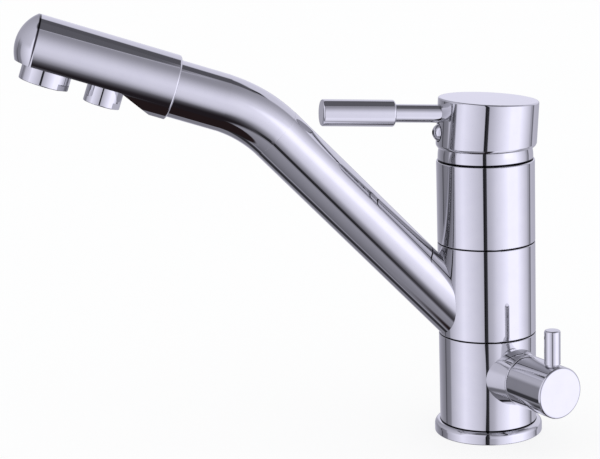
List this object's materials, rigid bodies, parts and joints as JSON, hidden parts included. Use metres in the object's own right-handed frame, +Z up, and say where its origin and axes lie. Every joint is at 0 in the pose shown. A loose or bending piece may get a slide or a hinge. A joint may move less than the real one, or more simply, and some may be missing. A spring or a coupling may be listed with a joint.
{
  "type": "three way kitchen mixer tap",
  "caption": "Chrome kitchen mixer tap with a swivelling spout, a side lever on a leaning cap, a knob for filtered water and a separate filtered water outlet.",
  "frame": {"origin": "centre of the underside of the base, on the deck", "axes": "+Z up the body; -X is where the spout and the mixer lever point at rest; the filter knob is on the -Y side"},
  "size_m": [0.2553, 0.0843, 0.2195],
  "materials": {
    "chrome": "mirror bright chrome plate on brass",
    "brass": "machined, bare",
    "stainless_steel": "machined stainless steel",
    "seal_rubber": "matte",
    "glide_plastic": "matte acetal",
    "cartridge_plastic": "matte moulded",
    "tube_plastic": "smooth extruded tube",
    "aerator_plastic": "fine moulded grid",
    "ceramic": "lapped alumina ceramic"
  },
  "bodies": {
    "base": {"base_flange": "chrome", "base_seal": "seal_rubber", "lower_body": "chrome", "column_seals": "seal_rubber", "lower_glide_ring": "glide_plastic", "upper_glide_ring": "glide_plastic", "upper_body": "chrome", "cartridge_port_seals": "seal_rubber", "cartridge_base": "cartridge_plastic", "fixed_mixing_disc": "ceramic", "cartridge_housing": "cartridge_plastic", "cartridge_nut": "brass", "cover_ring": "chrome", "filter_seat_seal": "seal_rubber", "filter_fixed_disc": "ceramic", "filter_headwork": "brass"},
    "spout": {"swivel_collar": "chrome", "spout_tube": "chrome", "filtered_water_tube": "tube_plastic", "outlet_head": "chrome", "head_seal": "seal_rubber", "mixed_aerator_housing": "chrome", "mixed_aerator_insert": "aerator_plastic", "mixed_aerator_washer": "seal_rubber", "filter_aerator_housing": "chrome", "filter_aerator_insert": "aerator_plastic", "filter_aerator_washer": "seal_rubber"},
    "cartridge_turn": {"cartridge_carrier": "cartridge_plastic", "stem_pivot_pin": "stainless_steel"},
    "mixing_slide": {"moving_mixing_disc": "ceramic", "disc_driver": "cartridge_plastic"},
    "lever": {"cartridge_stem": "stainless_steel", "handle_cap": "chrome", "lever_rod": "chrome", "lever_grip": "chrome", "handle_grub_screw": "stainless_steel", "screw_plug": "chrome"},
    "filter_control": {"filter_moving_disc": "ceramic", "filter_spindle": "brass", "filter_spindle_seal": "seal_rubber", "filter_knob": "chrome", "filter_knob_pin": "chrome", "filter_knob_screw": "stainless_steel"}
  },
  "joints": [
    {"name": "spout_swivel", "type": "hinge", "parent": "base", "child": "spout", "pos_m": [0, 0, 0.07412], "axis": [0, 0, 1], "continuous": true},
    {"name": "lever_turn", "type": "hinge", "parent": "base", "child": "cartridge_turn", "pos_m": [0, 0, 0.139], "axis": [0, 0, 1], "range_deg": [-50, 50]},
    {"name": "lever_lift", "type": "hinge", "parent": "cartridge_turn", "child": "lever", "pos_m": [0, 0, 0.139], "axis": [0, 1, 0], "range_deg": [0, 14]},
    {"name": "disc_slide", "type": "slide", "parent": "cartridge_turn", "child": "mixing_slide", "axis": [-1, 0, 0], "range_m": [0, 0.00383]},
    {"name": "filter_turn", "type": "hinge", "parent": "base", "child": "filter_control", "pos_m": [0.01401, -0.03747, 0.0326], "axis": [0.3502, -0.9367, 0], "range_deg": [0, 90]}
  ],
  "couplings": [
    {"joint": "disc_slide", "follows": "lever_lift", "m_per_rad": 0.01562}
  ]
}
